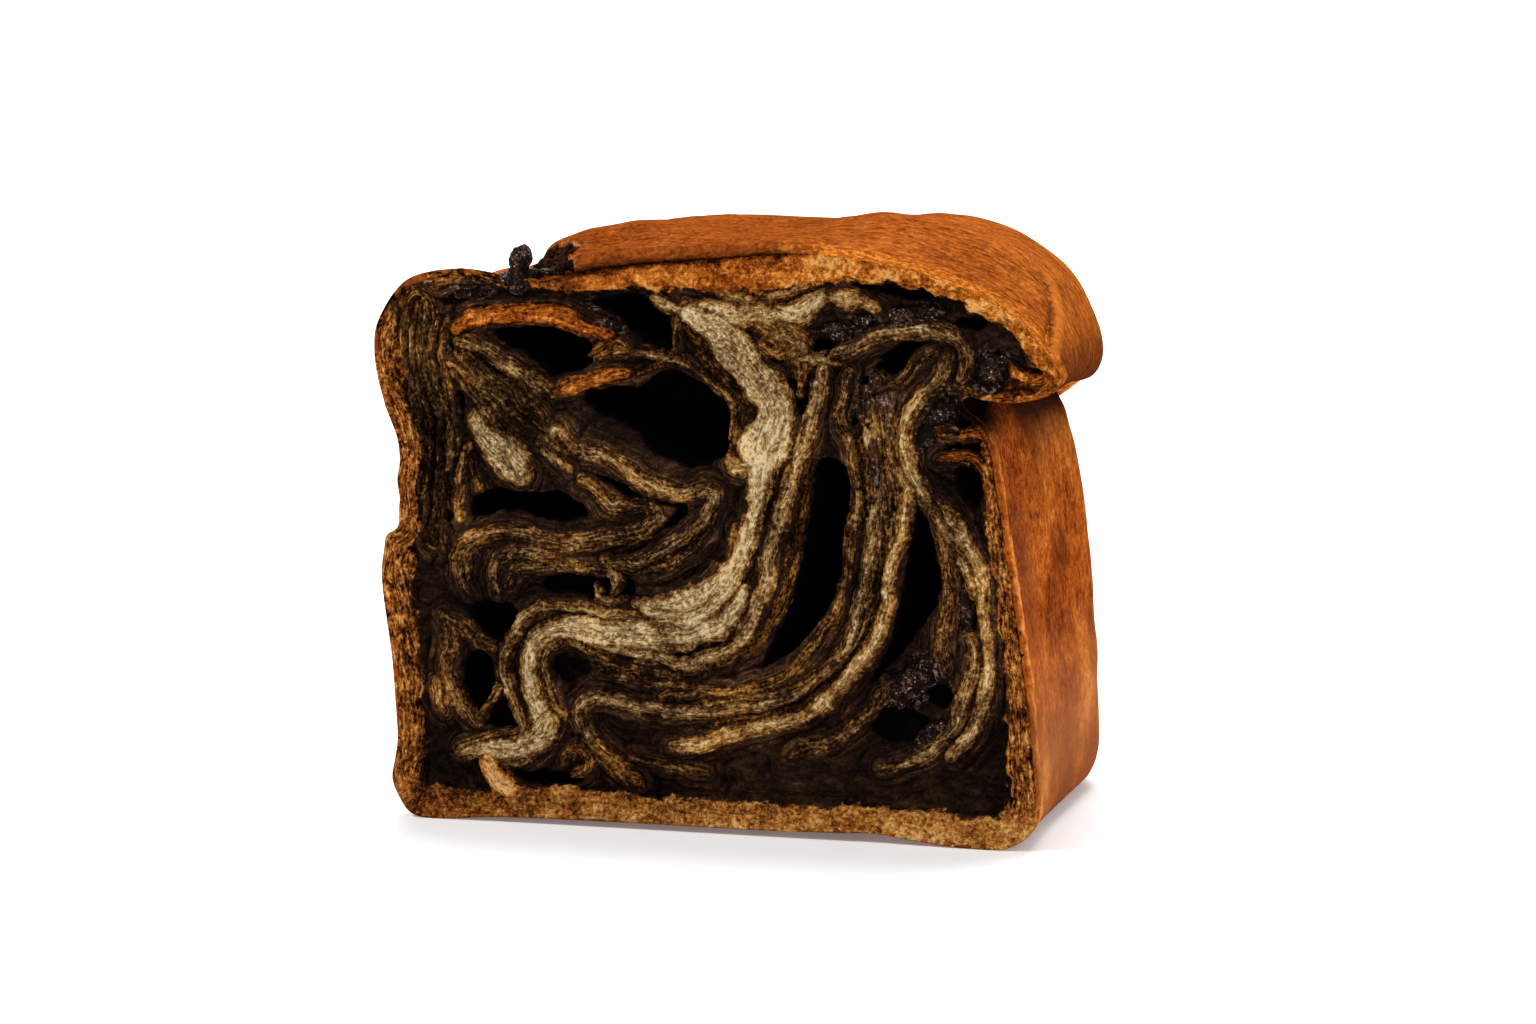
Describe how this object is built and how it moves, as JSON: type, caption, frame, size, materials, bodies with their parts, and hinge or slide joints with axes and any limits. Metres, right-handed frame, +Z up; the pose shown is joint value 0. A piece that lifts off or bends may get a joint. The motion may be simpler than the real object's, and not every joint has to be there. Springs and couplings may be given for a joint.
{
  "type": "babka",
  "caption": "Cut portion of a chocolate babka, a twisted yeast loaf: swirled crumb with dark filling and air pockets on the cut face, and a baked crust on the other sides.",
  "frame": {"origin": "middle of the box's base, on the surface that the loaf stands on", "axes": "+Z up through the loaf; the cut face looks along -Y and the baked heel is at +Y; X runs across the loaf, and the overhanging top is at +X"},
  "size_m": [0.1264, 0.08, 0.108],
  "materials": {
    "crust": "baked golden-brown crust, satin where it was brushed",
    "crumb": "pale open bread crumb, matte",
    "filling": "dark chocolate filling, moist with small glints"
  },
  "bodies": {
    "root": {"babka": "crust"}
  },
  "joints": []
}
